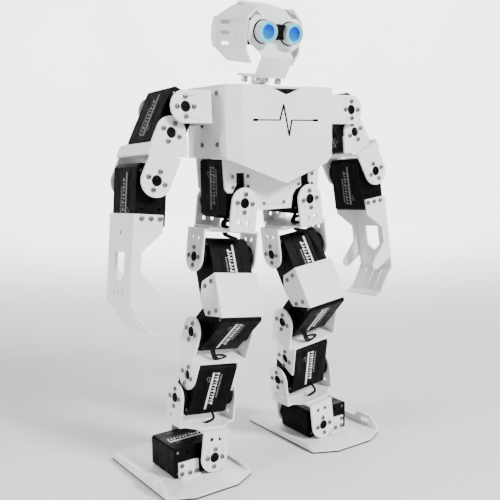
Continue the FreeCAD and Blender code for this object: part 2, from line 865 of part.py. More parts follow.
def pelvis_frame():
    """Front and rear plates on the hip-roll servos, joined by the waist plate above them."""
    piece = Piece("pelvis_frame")
    skin, face, low = d.sheet_thick, d.servo_half_depth, d.pelvis_low
    waist = d.waist_height
    half = [
        (17.5, low),
        (19.5, low + 11),
        (22.5, low + 15),
        (28.0, low + 17.5),
        (28.0, low + 30.0),
        (36.0, low + 30.0),
        (36.0, low + 21.0),
        (40.0, low + 14.8),
        (44.0, low + 14.8),
        (46.5, low + 18.0),
        (48.0, waist),
    ]
    outline = polygon(*half, *[(-across, up) for across, up in reversed(half)])
    piece.both(piece.add, "XZ", face, face + skin, outline)
    piece.add("XY", waist, waist + skin, box(-48.0, 48.0, -face - skin, face + skin))
    piece.cut("XY", waist - 1, waist + skin + 1, box(-9, 9, -10, 10))
    holes = [circle(x, z, d.screw_hole) for x, z in pelvis_screw_places()]
    piece.both(piece.cut, "XZ", face - 1, face + skin + 1, *holes)
    return piece.place(ROOT)


def pelvis_screw_places():
    hip_height = leg_frames(1)["hip"].Base.z
    centre = d.hip_spacing.value / 2
    places = [(-10.0, 217.3), (10.0, 217.3)]
    for way in (-1, 1):
        for across in (centre - 7.3, centre + 7.0):
            places += [(way * across, hip_height + 12.4), (way * across, hip_height + 20.3)]
    return places


def torso_screws():
    piece = Piece("torso_screws")
    skin, face = d.sheet_thick, d.servo_half_depth
    places = pelvis_screw_places()
    shanks = [circle(x, z, d.shank_radius) for x, z in places]
    heads = [circle(x, z, d.head_radius - 0.2) for x, z in places]
    piece.both(piece.add, "XZ", face + 0.2, face + skin + 0.1, *shanks)
    piece.both(piece.add, "XZ", face + skin, face + skin + d.head_thick, *heads)
    for depth, heights, wall in (
        (-19, CHEST_SCREW_HEIGHTS, d.chest_half_width),
        (5.5, BACK_SCREW_HEIGHTS, SIDE_WALL),
    ):
        shanks = [circle(depth, height, d.shank_radius) for height in heights]
        heads = [circle(depth, height, d.head_radius) for height in heights]
        piece.both(piece.add, "YZ", wall - skin + 0.1, wall + 0.1, *shanks)
        piece.both(piece.add, "YZ", wall, wall + d.head_thick, *heads)
    return piece.place(ROOT)


def torso():
    chest_shell()
    back_shell()
    pelvis_frame()
    torso_screws()
    for side in (1, -1):
        centre = SIDE_WALL - d.sheet_thick - d.servo_half_depth
        place = ROOT.multiply(shift(-side * centre, d.shoulder_depth, d.shoulder_height))
        servo(f"{side_name(side)}_shoulder_servo", place)
    battery = Piece("battery")
    cell = mirror_box(d.battery_half, d.battery_low, d.battery_top)
    battery.add("XZ", -d.battery_front, -d.battery_rear, cell)
    battery.place(ROOT)
    board = Piece("controller_board")
    face = d.board_face
    board.add("XZ", face, face + 1.6, mirror_box(d.board_half, d.board_low, d.board_top))
    board.add("XZ", face - 2.5, face, mirror_box(9, d.board_low + 5, d.board_low + 21))
    board.place(ROOT)
    neck = Piece("neck_servo")
    half = d.neck_servo_half
    neck.add("XY", d.neck_servo_low, d.chest_top - 1.9, box(-half, half, -half, d.neck_servo_tail))
    neck.add("XY", d.chest_top - 2, d.chest_top + 1.0, circle(0, 0, d.neck_boss_radius))
    neck.place(ROOT)


# Head: its frame is tilted nose down and has its origin on the neck's axis
def eye_circles(radius):
    return [circle(way * d.eye_spacing / 2, d.eye_height, radius) for way in (-1, 1)]


def head_frame(frame):
    """Face plate, chin and neck strip, forehead and crown, folded from one sheet."""
    front, half = d.face_front, d.strip_half_width
    skin = 1.6
    piece = Piece("head_frame")
    base = d.neck_standoff
    neck = polygon(
        (9.0, base),
        (-16.0, base),
        (-23.6, 22.0),
        (-front, 28.0),
        (-front + skin, 27.6),
        (-23.6 + skin, 22.2),
        (-15.0, base + skin),
        (9.0, base + skin),
    )
    crown = polygon(
        (-front, 49.8),
        (-front, 51.8),
        (-6.3, 58.6),
        (13.0, 62.8),
        (36.0, 52.0),
        (39.0, 31.0),
        (39.0 - skin, 31.0),
        (36.0 - skin, 51.0),
        (13.0, 61.0),
        (-5.7, 56.9),
        (-front + skin, 51.0),
        (-front + skin, 49.8),
    )
    piece.add("YZ", -half, half, neck)
    piece.add("YZ", -half, half, crown)
    top, low, wide = 51.8, 24.5, 25.0
    face = polygon(
        (-half, low + 1.5),
        (half, low + 1.5),
        (wide - 2, low + 6.5),
        (wide, low + 10),
        (wide, top - 5),
        (wide - 5, top),
        (-wide + 5, top),
        (-wide, top - 5),
        (-wide, low + 10),
        (-wide + 2, low + 6.5),
    )
    piece.add("XZ", -front, -front + skin, face)
    between = mirror_box(d.eye_spacing / 2 - 5.0, d.eye_height - 5.5, d.eye_height + 6.5)
    piece.cut("XZ", -front - 1, -front + 3, *eye_circles(d.eye_radius + 0.6))
    piece.cut("XZ", -front - 1, -front + 3, between)
    # post between the neck's horn and the strip, with its four screw holes
    piece.add("XY", 0, base + skin, circle(0, 0, d.neck_boss_radius))
    piece.cut("XY", -1, base + skin + 1, *ring_of_four(0, 0, 3.6, 0.7))
    return piece.place(frame)


def ear_cover(side, frame):
    """A slotted side cover with folded flanges above and below, cornered off at the rear."""
    piece = Piece(f"{side_name(side)}_ear_cover", side)
    wall, skin, front = -d.head_half_width, 1.5, -d.face_front + 1.6
    bend, rear, tuck = 26.0, 40.0, 4.0
    low, high = 25.8, 50.0
    plan = polygon(
        (wall, front),
        (wall, bend),
        (wall + tuck, rear),
        (wall + tuck + skin, rear - 0.4),
        (wall + skin, bend),
        (wall + skin, front),
    )
    piece.add("XY", low, high, plan)
    upper = polygon(
        (wall, high), (wall + 9.5, high + 9.2), (wall + 10.6, high + 8.1), (wall + skin, high - 0.9)
    )
    lower = polygon(
        (wall, low), (wall + 6.0, low - 9.5), (wall + 7.3, low - 8.7), (wall + skin, low + 0.6)
    )
    piece.add("XZ", front, bend, upper)
    piece.add("XZ", front, bend, lower)
    piece.add("XZ", front, front + skin, box(wall, wall + 5.5, 34.0, 45.0))
    reach = wall + 12.0
    top_corner = polygon((bend - 9, high + 12), (bend + 1, high + 12), (bend + 1, high))
    low_corner = polygon((bend - 13, low - 12), (bend + 1, low - 12), (bend + 1, low))
    rear_top = polygon((rear - 6, high + 1), (rear + 1, high + 1), (rear + 1, high - 9))
    rear_low = polygon((rear - 8, low - 1), (rear + 1, low - 1), (rear + 1, low + 8))
    for corner in (top_corner, low_corner, rear_top, rear_low):
        piece.cut("YZ", wall - 1, reach, corner)
    slot_front, slot_rear, slot_half = 8.5, 18.5, 1.5
    heights = (45.7, 37.7, 29.7)
    slots = [box(slot_front, slot_rear, up - slot_half, up + slot_half) for up in heights]
    ends = [circle(place, up, slot_half) for up in heights for place in (slot_front, slot_rear)]
    piece.cut("YZ", wall - 1, wall + skin + 1, *slots)
    piece.cut("YZ", wall - 1, wall + skin + 1, *ends)
    piece.cut("YZ", wall - 1, wall + skin + 1, box(-3.6, -2.8, 35.9, 39.9))
    return piece.place(frame)


def sensor(frame):
    """The ultrasonic module: board, bridge and two barrels, with a lens disc in each."""
    piece = Piece("ultrasonic_sensor")
    front = -d.face_front
    nose = front - d.barrel_length + 1.6
    board = front + 5.2
    half = d.eye_spacing / 2
    piece.add("XZ", nose, board, *eye_circles(d.eye_radius))
    back_board = mirror_box(22.5, d.eye_height - 10.5, d.eye_height + 9.0)
    bridge = mirror_box(half - 5.4, d.eye_height - 5.0, d.eye_height + 6.0)
    piece.add("XZ", board - 1.2, board + 0.4, back_board)
    piece.add("XZ", front - 4.0, board, bridge)
    piece.cut("XZ", nose - 1, nose + 2.4, *eye_circles(d.eye_radius - 1.0))
    piece.place(frame)
    lenses = Piece("sensor_lenses")
    lenses.add("XZ", nose + 0.6, nose + 2.4, *eye_circles(d.eye_radius - 1.1))
    lenses.place(frame)


def head():
    frame = ROOT.multiply(shift(0, 0, d.head_height)).multiply(rotation("X", d.head_tilt))
    head_frame(frame)
    ear_cover(1, frame)
    ear_cover(-1, frame)
    sensor(frame)


def export():
    doc.recompute()
    for item in doc.Objects:
        if "Invalid" in item.State or "Error" in item.State:
            raise RuntimeError(f"{item.Label} did not build: {item.State}")
    os.makedirs("parts", exist_ok=True)
    for piece in pieces:
        shape = piece.body.Shape
        if shape.isNull() or not shape.isValid():
            raise RuntimeError(f"{piece.body.Label} has no valid shape")
        shape.exportStep(f"parts/{piece.body.Label}.step")
        print(piece.body.Label, len(shape.Solids), round(shape.Volume))


torso()
head()
for side in (1, -1):
    arm(side)
    leg(side)
export()
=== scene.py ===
import json
import math

import bmesh
import bpy
from mathutils import Matrix, Vector


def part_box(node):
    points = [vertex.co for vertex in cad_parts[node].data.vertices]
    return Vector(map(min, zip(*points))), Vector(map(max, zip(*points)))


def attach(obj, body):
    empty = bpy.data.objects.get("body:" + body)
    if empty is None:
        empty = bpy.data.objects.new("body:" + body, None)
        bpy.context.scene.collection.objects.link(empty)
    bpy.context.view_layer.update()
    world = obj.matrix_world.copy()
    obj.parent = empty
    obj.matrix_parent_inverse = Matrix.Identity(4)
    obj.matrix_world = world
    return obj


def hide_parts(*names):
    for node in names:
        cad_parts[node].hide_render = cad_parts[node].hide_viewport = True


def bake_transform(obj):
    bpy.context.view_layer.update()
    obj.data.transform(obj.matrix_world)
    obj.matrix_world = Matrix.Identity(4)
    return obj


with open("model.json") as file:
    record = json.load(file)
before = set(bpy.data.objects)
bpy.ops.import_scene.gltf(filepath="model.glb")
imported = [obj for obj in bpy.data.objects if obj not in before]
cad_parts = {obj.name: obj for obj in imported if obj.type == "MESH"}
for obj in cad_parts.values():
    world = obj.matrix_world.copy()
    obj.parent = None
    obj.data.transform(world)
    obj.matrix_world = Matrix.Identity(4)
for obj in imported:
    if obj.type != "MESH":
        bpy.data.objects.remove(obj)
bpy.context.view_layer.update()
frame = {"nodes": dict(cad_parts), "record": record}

# All sizes are in millimetres; MM turns them into Blender's metres.
MM = 0.001

# Servo: half sizes of the case, its two ends from the shaft, and the sheet's faces beside it
SERVO_DEPTH = 18.15
SERVO_WIDTH = 12.3
SHEET = 1.8
HORN_LOW = 20.3
HORN_FACE = 24.4
HORN_RADIUS = 9.8
HUB_RADIUS = 3.7
SCREW_CIRCLE = 7.0
HEAD_RADIUS = 1.9
HEAD_THICK = 1.25
CROSS_REACH = 1.0
CROSS_HALF = 0.24
CROSS_FLOOR = 0.45
CROSS_TAPER = 0.75
PLATE_SHIFT = 20.3
WEB_REACH = 22.25

# Leans of the parts that no joint position gives, in degrees
HIP_SERVO_LEAN = 26.0
KNEE_SERVO_LEAN = 46.0
FOREARM_SWING = 6.5
HEAD_TILT = 9.0

# Screws of the thighs, the torso, the hands, the feet and the servo cases
THIGH_SCREWS = ((-9, -23.5), (0, -24.5), (-9, -47), (0.5, -46))
CHEST_HALF = 52.0
CHEST_SCREW_DEPTH = -19
CHEST_SCREW_HEIGHTS = (301.9, 263.6)
BACK_SCREW_DEPTH = 5.5
BACK_SCREW_HEIGHTS = (278.0, 263.4)
PELVIS_SCREW_SPREAD = 10.0
PELVIS_SCREW_HEIGHT = 217.3
HIP_SCREW_OFFSETS = (-7.3, 7.0)
HIP_SCREW_RISES = (12.4, 20.3)
HAND_SHEET = 1.6
HAND_SCREW_DROP = -27.0
HAND_SCREW_OFFSETS = (-7.4, 0, 7.4)
FOOT_SCREWS = ((-26.8, -1.9), (-26.8, -8.6), (-19.6, -9.2), (-13.6, -9.2))
CASE_SCREW_SPREAD = 8.6
CASE_SCREW_HEIGHTS = (-29.2, 7.0)

# Chest: its front face and top, and the pulse line across the front
CHEST_FRONT = -37.0
CHEST_TOP = 307.9
PULSE_HEIGHT = 281.8
PULSE_WIDTH = 0.95
PULSE_SKIN = 0.05
PULSE_DEPTH = 0.6
PULSE_ROUTE = ((-31.5, 0), (-6.5, 0), (-2.8, 11.6), (2.5, -11.8), (5.0, 0), (31.5, 0))

# Sensor eyes, in the head's frame
EYE_SPREAD = 12.5
EYE_HEIGHT = 40.4
EYE_RADIUS = 8.6
EYE_FRONT = -26.4
EYE_BASE = -12.9
EYE_STEPS = 64
FACE_FRONT = -18.0

# Neck: its horn disc on the chest, and the posts that hold the head, as (level, radius)
NECK_HORN = ((1.1, 8.2), (1.5, 8.6), (2.6, 8.6), (3.0, 8.2))
NECK_STANDOFF = 6.0
NECK_POST = ((1.0, 1.6), (1.3, 2.3), (2.6, 2.6), (4.4, 2.6), (5.6, 2.3), (NECK_STANDOFF, 1.8))
POST_SPREAD = 10.5
POST_DEPTHS = (-12.0, 4.5)

# Rounding of moulded and of folded edges, and the gap below which their corners merge
CASE_ROUND = 0.45
SHEET_ROUND = 0.28
WELD_GAP = 0.002

# Angles from which an edge is rounded and from which shading breaks, in degrees
ROUND_ANGLE = 38
SHARP_ANGLE = 35

# Directions of the four screws on a screw circle
FOUR_WAYS = ((1, 0), (-1, 0), (0, 1), (0, -1))

SIDES = (("right", 1), ("left", -1))

# Places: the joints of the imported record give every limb's frame.
joints = {joint["name"]: joint for joint in frame["record"]["behaviour"]["joints"]}


def joint_place(name):
    return Vector(joints[name]["pos_m"]) / MM


def basis(origin, shaft, up):
    """Frame with X along the shaft and Z as near up as the shaft allows, in millimetres."""
    x = shaft.normalized()
    y = up.cross(x).normalized()
    z = x.cross(y)
    turn = Matrix((x, y, z)).transposed().to_4x4()
    return Matrix.Translation(origin) @ turn


def turned(axis, degrees):
    return Matrix.Rotation(math.radians(degrees), 4, axis)


def moved(x, y, z):
    return Matrix.Translation((x, y, z))


def end_turn(way):
    """Turns local X to the shaft's positive or negative end."""
    return turned("Z", 0 if way > 0 else 180)


def limb_frames(name, side):
    """The frames of one arm and one leg, each at its joint, as the CAD draws them."""
    hip, pitch, knee, ankle, roll = (
        joint_place(f"{name}_{joint}")
        for joint in ("hip_roll", "hip_pitch", "knee", "ankle_pitch", "ankle_roll")
    )
    forward = Vector((0, 1, 0))
    shaft = forward.cross(hip - pitch)
    shoulder = joint_place(f"{name}_shoulder_pitch")
    elbow = joint_place(f"{name}_elbow")
    depth = side * Vector(joints[f"{name}_shoulder_roll"]["axis"])
    upper = basis(shoulder, depth.cross(shoulder - elbow), shoulder - elbow)
    lower = moved(*elbow) @ upper.to_3x3().to_4x4()
    swing = math.degrees(upper.to_3x3().col[0].angle(Vector((1, 0, 0))))
    return {
        "hip": basis(hip, shaft, hip - pitch),
        "thigh": basis(pitch, shaft, pitch - knee),
        "shin": basis(knee, shaft, knee - ankle),
        "ankle": basis(ankle, shaft, ankle - roll),
        "foot": moved(*roll),
        "shoulder": basis(shoulder, Vector((1, 0, 0)), Vector((1, 0, 0)).cross(depth)),
        "upper_arm": upper,
        "elbow": lower,
        "forearm": lower @ turned("Y", side * (FOREARM_SWING - swing)),
    }


limbs = {name: limb_frames(name, side) for name, side in SIDES}
head_frame = moved(*joint_place("neck_pan")) @ turned("X", HEAD_TILT)
UPSIDE_DOWN = turned("Y", 180)


def servo_frames():
    """Each servo's frame: shaft along X, tail along -Z, label towards -Y; and its body."""
    places = {}
    for name, side in SIDES:
        limb = limbs[name]
        outward = turned("Z", -side * 90)
        rightward = turned("Z", -90)
        low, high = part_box(f"{name}_shoulder_servo")
        shoulder = limb["shoulder"].translation
        shoulder = Vector(((low.x + high.x) / 2 / MM, shoulder.y, shoulder.z))
        hip = moved(*limb["hip"].translation)
        knee = moved(*limb["shin"].translation) @ limb["hip"].to_3x3().to_4x4()
        thigh = moved(*limb["thigh"].translation) @ limb["hip"].to_3x3().to_4x4()
        places[f"{name}_shoulder_servo"] = ("torso", moved(*shoulder))
        places[f"{name}_hip_roll_servo"] = ("torso", hip @ UPSIDE_DOWN @ turned("Z", side * 90))
        upper_arm = limb["upper_arm"] @ rightward
        places[f"{name}_upper_arm_servo"] = (f"{name}_upper_arm", upper_arm)
        places[f"{name}_forearm_servo"] = (f"{name}_forearm", limb["forearm"] @ rightward)
        thigh_servo = thigh @ turned("X", -HIP_SERVO_LEAN)
        knee_servo = knee @ turned("X", KNEE_SERVO_LEAN) @ UPSIDE_DOWN
        places[f"{name}_thigh_servo"] = (f"{name}_thigh", thigh_servo)
        places[f"{name}_knee_servo"] = (f"{name}_thigh", knee_servo)
        ankle = moved(*limb["ankle"].translation) @ limb["shin"].to_3x3().to_4x4() @ UPSIDE_DOWN
        places[f"{name}_ankle_pitch_servo"] = (f"{name}_shin", ankle)
        foot = limb["foot"] @ turned("Y", side * 90) @ outward
        places[f"{name}_ankle_roll_servo"] = (f"{name}_foot", foot)
    return places


servos = servo_frames()


# Materials
def new_material(name, **sockets):
    mat = bpy.data.materials.new(name)
    mat.use_nodes = True
    shader = mat.node_tree.nodes["Principled BSDF"]
    for socket, value in sockets.items():
        shader.inputs[socket.replace("_", " ")].default_value = value
    return mat, mat.node_tree, shader


def object_coordinates(tree):
    return tree.nodes.new("ShaderNodeTexCoord").outputs["Object"]


def noise(tree, scale, detail=3.0, roughness=0.5):
    node = tree.nodes.new("ShaderNodeTexNoise")
    node.inputs["Scale"].default_value = scale
    node.inputs["Detail"].default_value = detail
    node.inputs["Roughness"].default_value = roughness
    tree.links.new(object_coordinates(tree), node.inputs["Vector"])
    return node.outputs["Fac"]


def ramp(tree, source, low, high, start=0.35, end=0.65):
    """Two colours or two grey levels spread over part of a texture's range."""
    node = tree.nodes.new("ShaderNodeValToRGB")
    for stop, place, level in zip(node.color_ramp.elements, (start, end), (low, high)):
        stop.position = place
        stop.color = (level, level, level, 1) if isinstance(level, float) else (*level, 1)
    tree.links.new(source, node.inputs["Fac"])
    return node.outputs["Color"]


def add_bump(tree, shader, source, strength, distance):
    node = tree.nodes.new("ShaderNodeBump")
    node.inputs["Strength"].default_value = strength
    node.inputs["Distance"].default_value = distance
    tree.links.new(source, node.inputs["Height"])
    tree.links.new(node.outputs["Normal"], shader.inputs["Normal"])


def textured(name, dark, light, patches, rough, grain, strength, **sockets):
    """A surface whose colour and gloss vary in patches, with a fine grain in its relief."""
    mat, tree, shader = new_material(name, **sockets)
    tree.links.new(ramp(tree, noise(tree, patches), dark, light), shader.inputs["Base Color"])
    gloss = ramp(tree, noise(tree, patches * 3.1), *rough)
    tree.links.new(gloss, shader.inputs["Roughness"])
    add_bump(tree, shader, noise(tree, grain, detail=2.0), strength, 0.0002)
    return mat


WHITE = textured(
    "powder_coat", (0.80, 0.805, 0.81), (0.87, 0.872, 0.876), 24, (0.36, 0.48), 1900, 0.10,
    Specular_IOR_Level=0.45,
)
CASE = textured(
    "servo_plastic", (0.0012, 0.0012, 0.0014), (0.003, 0.0029, 0.0033), 60, (0.42, 0.56), 2600, 0.18,
    Specular_IOR_Level=0.05,
)
BLACK = textured(
    "horn_plastic", (0.0012, 0.0012, 0.0014), (0.003, 0.003, 0.0034), 90, (0.4, 0.52), 1500, 0.08,
    Specular_IOR_Level=0.07,
)
STEEL = textured(
    "darkened_steel", (0.12, 0.12, 0.125), (0.26, 0.255, 0.25), 400, (0.24, 0.38), 3500, 0.05,
    Metallic=0.85,
)
BRIGHT = textured(
    "plated_steel", (0.42, 0.42, 0.43), (0.6, 0.6, 0.62), 300, (0.18, 0.3), 3000, 0.05,
    Metallic=1.0,
)
SOLE = textured(
    "sole_rubber", (0.022, 0.016, 0.014), (0.032, 0.023, 0.020), 160, (0.6, 0.78), 2400, 0.3,
)
BATTERY = textured(
    "battery_wrap", (0.01, 0.02, 0.07), (0.02, 0.035, 0.11), 50, (0.25, 0.4), 600, 0.2,
)
BOARD = textured(
    "solder_mask", (0.004, 0.012, 0.009), (0.008, 0.03, 0.02), 120, (0.3, 0.42), 1800, 0.1,
)
CABLE = textured(
    "cable_sheath", (0.0012, 0.0012, 0.0013), (0.003, 0.003, 0.0032), 150, (0.42, 0.55), 1600, 0.15,
    Specular_IOR_Level=0.12,
)
INK = textured(
    "label_ink", (0.62, 0.62, 0.63), (0.85, 0.85, 0.86), 900, (0.5, 0.7), 3000, 0.1,
)
# Grey ink of the labels' small print; the same material also darkens the whole label of the hip and
# arm servos as painted shade
GREY_PRINT_AND_LABEL_SHADE = textured(
    "grey_print_and_painted_label_shade", (0.10, 0.10, 0.11), (0.20, 0.20, 0.21), 900, (0.5, 0.7), 3000, 0.1,
)
CONNECTOR = textured(
    "connector_nylon", (0.42, 0.40, 0.34), (0.56, 0.53, 0.46), 300, (0.4, 0.55), 2200, 0.1,
)
CAN = textured(
    "sensor_can", (0.42, 0.56, 0.57), (0.56, 0.70, 0.71), 200, (0.3, 0.42), 1200, 0.12,
    Metallic=0.25,
)


EYE_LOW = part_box("sensor_lenses")[0].z
LENS_RISE = 58


def lens_material():
    """Lit blue diffuser: deep blue at the top, cyan towards the lower inner edge."""
    mat, tree, shader = new_material(
        "lit_lens",
        Base_Color=(0.0, 0.01, 0.06, 1),
        Roughness=0.16,
        Specular_IOR_Level=0.2,
        Emission_Strength=0.9,
    )
    # both eyes share one pattern: their places repeat every EYE_SPREAD * 2
    repeat = tree.nodes.new("ShaderNodeVectorMath")
    repeat.operation = "WRAP"
    repeat.inputs[1].default_value = (0, 1, 1)
    repeat.inputs[2].default_value = (-2 * EYE_SPREAD * MM, -1, -1)
    tree.links.new(object_coordinates(tree), repeat.inputs[0])
    slant = tree.nodes.new("ShaderNodeVectorMath")
    slant.operation = "DOT_PRODUCT"
    slant.inputs[1].default_value = (34, 0, LENS_RISE)
    tree.links.new(repeat.outputs["Vector"], slant.inputs[0])
    shade = tree.nodes.new("ShaderNodeMath")
    shade.operation = "MULTIPLY_ADD"
    shade.inputs[1].default_value = 0.55
    tree.links.new(noise(tree, 240, detail=1.0), shade.inputs[0])
    lower = tree.nodes.new("ShaderNodeMath")
    lower.operation = "SUBTRACT"
    lower.inputs[1].default_value = EYE_LOW * LENS_RISE - 0.25
    tree.links.new(slant.outputs["Value"], lower.inputs[0])
    tree.links.new(lower.outputs["Value"], shade.inputs[2])
    colour = ramp(tree, shade.outputs["Value"], (0.0, 0.42, 1.0), (0.0, 0.06, 0.95), 0.2, 0.75)
    tree.links.new(colour, shader.inputs["Emission Color"])
    return mat


LENS = lens_material()
RIM, _, _ = new_material(
    "lit_rim",
    Base_Color=(0.0, 0.25, 0.35, 1),
    Emission_Color=(0.02, 0.72, 1.0, 1),
    Emission_Strength=1.0,
    Roughness=0.3,
)

SLOT_MATERIALS = {
    "white_sheet": WHITE,
    "servo_case": CASE,
    "horns": BLACK,
    "screws": STEEL,
    "sole_rubber": SOLE,
    "battery_wrap": BATTERY,
    "circuit_board": BOARD,
    "sensor_body": BLACK,
    "glowing_lens": LENS,
}


def finish_cad_nodes():
    """Every CAD node takes its slot's material, and its folded or moulded edges are rounded."""
    slots = {part["node"]: part["material_slot"] for part in frame["record"]["subparts"]}
    for name, node in frame["nodes"].items():
        node.data.materials.clear()
        node.data.materials.append(SLOT_MATERIALS[slots[name]])
        weld = node.modifiers.new("weld", "WELD")
        weld.merge_threshold = WELD_GAP * MM
        bevel = node.modifiers.new("round_edges", "BEVEL")
        bevel.width = (CASE_ROUND if slots[name] == "servo_case" else SHEET_ROUND) * MM
        bevel.segments = 2
        bevel.limit_method = "ANGLE"
        bevel.angle_limit = math.radians(ROUND_ANGLE)
        bevel.harden_normals = True


finish_cad_nodes()


# Mesh building
def add_to_scene(piece):
    bpy.context.scene.collection.objects.link(piece)


def shade_smooth(mesh):
    for polygon in mesh.polygons:
        polygon.use_smooth = True


def lathe(bm, place, profile, steps=40, lid=True):
    """A body of revolution about the local X axis; the profile is (level, radius)."""
    rings = []
    for level, radius in profile:
        ring = []
        for step in range(steps):
            angle = 2 * math.pi * step / steps
            point = Vector((level, radius * math.cos(angle), radius * math.sin(angle)))
            ring.append(bm.verts.new(place @ point))
        rings.append(ring)
    for ring, after in zip(rings, rings[1:]):
        for step in range(steps):
            bm.faces.new((ring[step], ring[step - 1], after[step - 1], after[step]))
    bm.faces.new(rings[0])
    if lid:
        bm.faces.new(reversed(rings[-1]))


def block(bm, place, low, high):
    """A box between two corners of a local frame."""
    corners = [
        bm.verts.new(place @ Vector((x, y, z)))
        for x in (low[0], high[0])
        for y in (low[1], high[1])
        for z in (low[2], high[2])
    ]
    for face in ((0, 1, 3, 2), (4, 6, 7, 5), (0, 4, 5, 1), (2, 3, 7, 6), (0, 2, 6, 4), (1, 5, 7, 3)):
        bm.faces.new([corners[index] for index in face])


def finish_mesh(name, bm, mat, body, bevel=0.0):
    """Turns a bmesh drawn in millimetres into a piece that rides on a body."""
    bmesh.ops.recalc_face_normals(bm, faces=bm.faces)
    bmesh.ops.transform(bm, matrix=Matrix.Scale(MM, 4), verts=bm.verts)
    mesh = bpy.data.meshes.new(name)
    bm.to_mesh(mesh)
    bm.free()
    mesh.materials.append(mat)
    mesh.set_sharp_from_angle(angle=math.radians(SHARP_ANGLE))
    piece = bpy.data.objects.new(name, mesh)
    add_to_scene(piece)
    if bevel:
        modifier = piece.modifiers.new("round_edges", "BEVEL")
        modifier.width = bevel * MM
        modifier.segments = 2
        modifier.angle_limit = math.radians(ROUND_ANGLE)
        modifier.harden_normals = True
    shade_smooth(mesh)
    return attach(piece, body)


def cross_points(reach, half):
    """The twelve corners of a plus sign."""
    arm = [(reach, -half), (reach, half), (half, half)]
    points = []
    for turn in range(4):
        angle = turn * math.pi / 2
        cos, sin = math.cos(angle), math.sin(angle)
        points += [(y * cos - z * sin, y * sin + z * cos) for y, z in arm]
    return points


def screw_template():
    """A pan head with a cross recess: it sits on the level X = 0 and rises to HEAD_THICK."""
    bm = bmesh.new()
    steps = 20
    rings = []
    for level, radius in ((0, 1.0), (0.75, 1.0), (1.05, 0.86), (HEAD_THICK, 0.62)):
        rings.append([
            bm.verts.new((
                level,
                HEAD_RADIUS * radius * math.cos(2 * math.pi * step / steps),
                HEAD_RADIUS * radius * math.sin(2 * math.pi * step / steps),
            ))
            for step in range(steps)
        ])
    for ring, after in zip(rings, rings[1:]):
        for step in range(steps):
            bm.faces.new((ring[step], ring[step - 1], after[step - 1], after[step]))
    bm.faces.new(rings[0])
    cross = cross_points(CROSS_REACH, CROSS_HALF)
    top = [bm.verts.new((HEAD_THICK, y, z)) for y, z in cross]
    floor = [bm.verts.new((CROSS_FLOOR, y * CROSS_TAPER, z * CROSS_TAPER)) for y, z in cross]
    for corner in range(12):
        bm.faces.new((top[corner], top[corner - 1], floor[corner - 1], floor[corner]))
    bm.faces.new(floor)
    loops = [bm.edges.get((a, b)) for a, b in zip(rings[-1], rings[-1][1:] + rings[-1][:1])]
    loops += [bm.edges.get((a, b)) for a, b in zip(top, top[1:] + top[:1])]
    bmesh.ops.triangle_fill(bm, use_beauty=True, use_dissolve=False, edges=loops)
    mesh = bpy.data.meshes.new("screw_template")
    bm.to_mesh(mesh)
    bm.free()
    return mesh


SCREW = screw_template()


def add_screw(bm, place, scale=1.0):
    """One screw whose head sits on the local plane X = 0 and points along +X."""
    before = len(bm.verts)
    bm.from_mesh(SCREW)
    bm.verts.ensure_lookup_table()
    matrix = place @ Matrix.Scale(scale, 4)
    bmesh.ops.transform(bm, matrix=matrix, verts=bm.verts[before:])


def ring_places(matrix, level, way, up=0.0):
    """Frames of the four screws round a shaft, on the sheet's face at the level given."""
    facing = end_turn(way)
    for index, (across, along) in enumerate(FOUR_WAYS):
        point = moved(way * level, across * SCREW_CIRCLE, up + along * SCREW_CIRCLE)
        yield matrix @ point @ facing @ turned("X", 21 * (index + 1))


# Horns, hubs and their screws
def add_horns(metal, plastic, matrix):
    """Both horns of one joint about the local X axis, with hubs and eight screws."""
    for way in (1, -1):
        side = matrix @ end_turn(way)
        rim = HORN_FACE - 0.02
        lathe(plastic, side, (
            (HORN_LOW, HORN_RADIUS - 1.6),
            (HORN_LOW, HORN_RADIUS - 0.6),
            (HORN_LOW + 0.6, HORN_RADIUS),
            (HORN_LOW + 1.7, HORN_RADIUS),
            (HORN_LOW + 1.9, HORN_RADIUS - 0.45),
            (HORN_LOW + 2.2, HORN_RADIUS - 0.45),
            (HORN_LOW + 2.4, HORN_RADIUS),
            (rim - 0.3, HORN_RADIUS),
            (rim, HORN_RADIUS - 0.4),
        ))
        lathe(plastic, side, (
            (rim - 1, HUB_RADIUS),
            (rim + 1.9, HUB_RADIUS),
            (rim + 2.15, HUB_RADIUS - 0.3),
            (rim + 2.15, 2.3),
            (rim + 1.2, 2.1),
        ), steps=28)
        add_screw(plastic, side @ moved(rim + 1.0, 0, 0), 0.95)
        for place in ring_places(matrix, HORN_FACE + SHEET, way):
            add_screw(metal, place)


def add_mount_screws(metal, matrix, up):
    """Screws through both plates that hold a servo's case."""
    for way in (1, -1):
        for place in ring_places(matrix, SERVO_DEPTH + SHEET, way, up):
            add_screw(metal, place)


def finish_hardware(name, body, metal, plastic):
    """The horns and the screws of one bracket, in place of the CAD's plain ones."""
    finish_mesh(f"{name}_heads", metal, STEEL, body)
    piece = finish_mesh(f"{name}_horns", plastic, BLACK, body)
    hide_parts(name)


